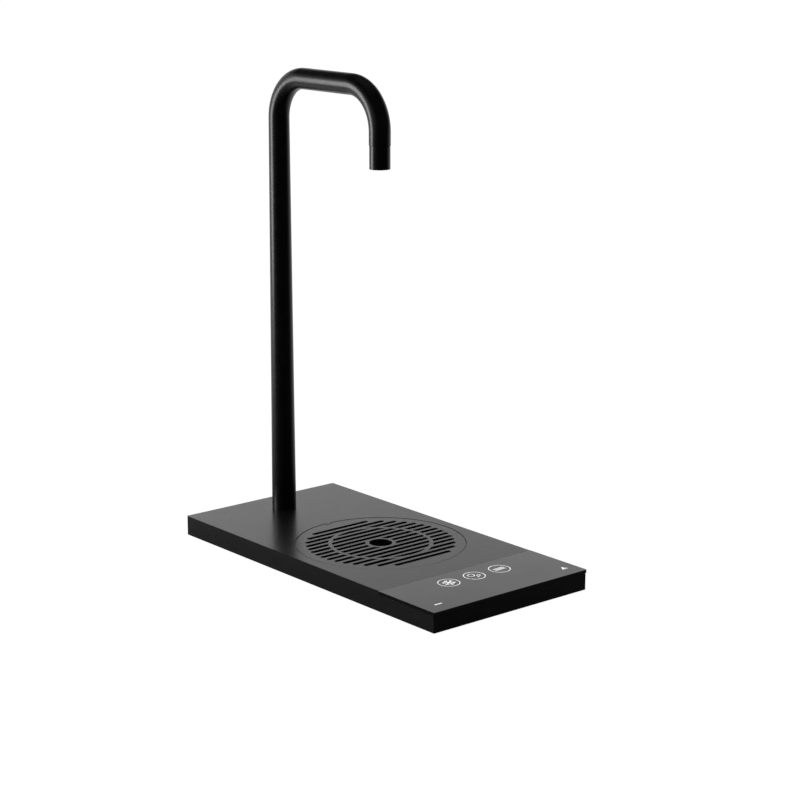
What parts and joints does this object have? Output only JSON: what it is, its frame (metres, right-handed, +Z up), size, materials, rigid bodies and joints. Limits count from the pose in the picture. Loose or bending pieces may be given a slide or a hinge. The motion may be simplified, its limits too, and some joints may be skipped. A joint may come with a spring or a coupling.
{
  "type": "chilled water tap",
  "caption": "Worktop water dispenser: flat black base with touch panel, round slotted drip grille over a plumbed tray, and a tapered swan neck with a pull-off spout nozzle.",
  "frame": {"origin": "middle of the base's outline, on the worktop", "axes": "+Z up, -Y to the front where the touch panel is, +X to the right as the user stands"},
  "size_m": [0.1508, 0.306, 0.3756],
  "materials": {
    "satin_black": "satin black coating",
    "neck_black": "satin black coating",
    "panel_black": "black printed from behind",
    "plain_steel": "plain",
    "brass": "turned",
    "black_rubber": "matt",
    "black_plastic": "moulded",
    "white_plastic": "moulded",
    "clear_plastic": "clear",
    "circuit_board": "solder mask",
    "blue_tube": "extruded",
    "green_tube": "extruded"
  },
  "bodies": {
    "base": {"base_housing": "satin_black", "bottom_plate": "plain_steel", "bottom_plate_screws": "plain_steel", "worktop_seal": "black_rubber", "fixing_inserts": "brass", "touch_panel": "panel_black", "panel_tape": "black_rubber", "touch_pcb": "circuit_board", "pcb_screws": "plain_steel", "touch_leds": "white_plastic", "icon_light_guides": "clear_plastic", "indicator_light_guides": "clear_plastic", "pcb_connector": "white_plastic", "control_cable": "black_rubber", "control_socket": "black_plastic", "drip_tray": "black_plastic", "tray_gasket": "black_rubber", "tray_screws": "plain_steel", "drain_strainer": "plain_steel", "spout_tube": "neck_black", "riser_seal": "black_rubber", "riser_washer": "plain_steel", "riser_nut": "brass", "inlet_block": "white_plastic", "inlet_collets": "brass", "chilled_water_tube": "blue_tube", "sparkling_water_tube": "green_tube", "ambient_water_tube": "white_plastic", "outlet_core": "black_plastic"},
    "grille": {"drip_grille": "satin_black"},
    "nozzle": {"nozzle_sleeve": "neck_black", "nozzle_o_ring": "black_rubber", "flow_straightener": "black_plastic"}
  },
  "joints": [
    {"name": "grille_lift", "type": "slide", "parent": "base", "child": "grille", "axis": [0, 0, 1], "range_m": [0, 0.06]},
    {"name": "nozzle_pull", "type": "slide", "parent": "base", "child": "nozzle", "axis": [0, 0, -1], "range_m": [0, 0.02]}
  ]
}
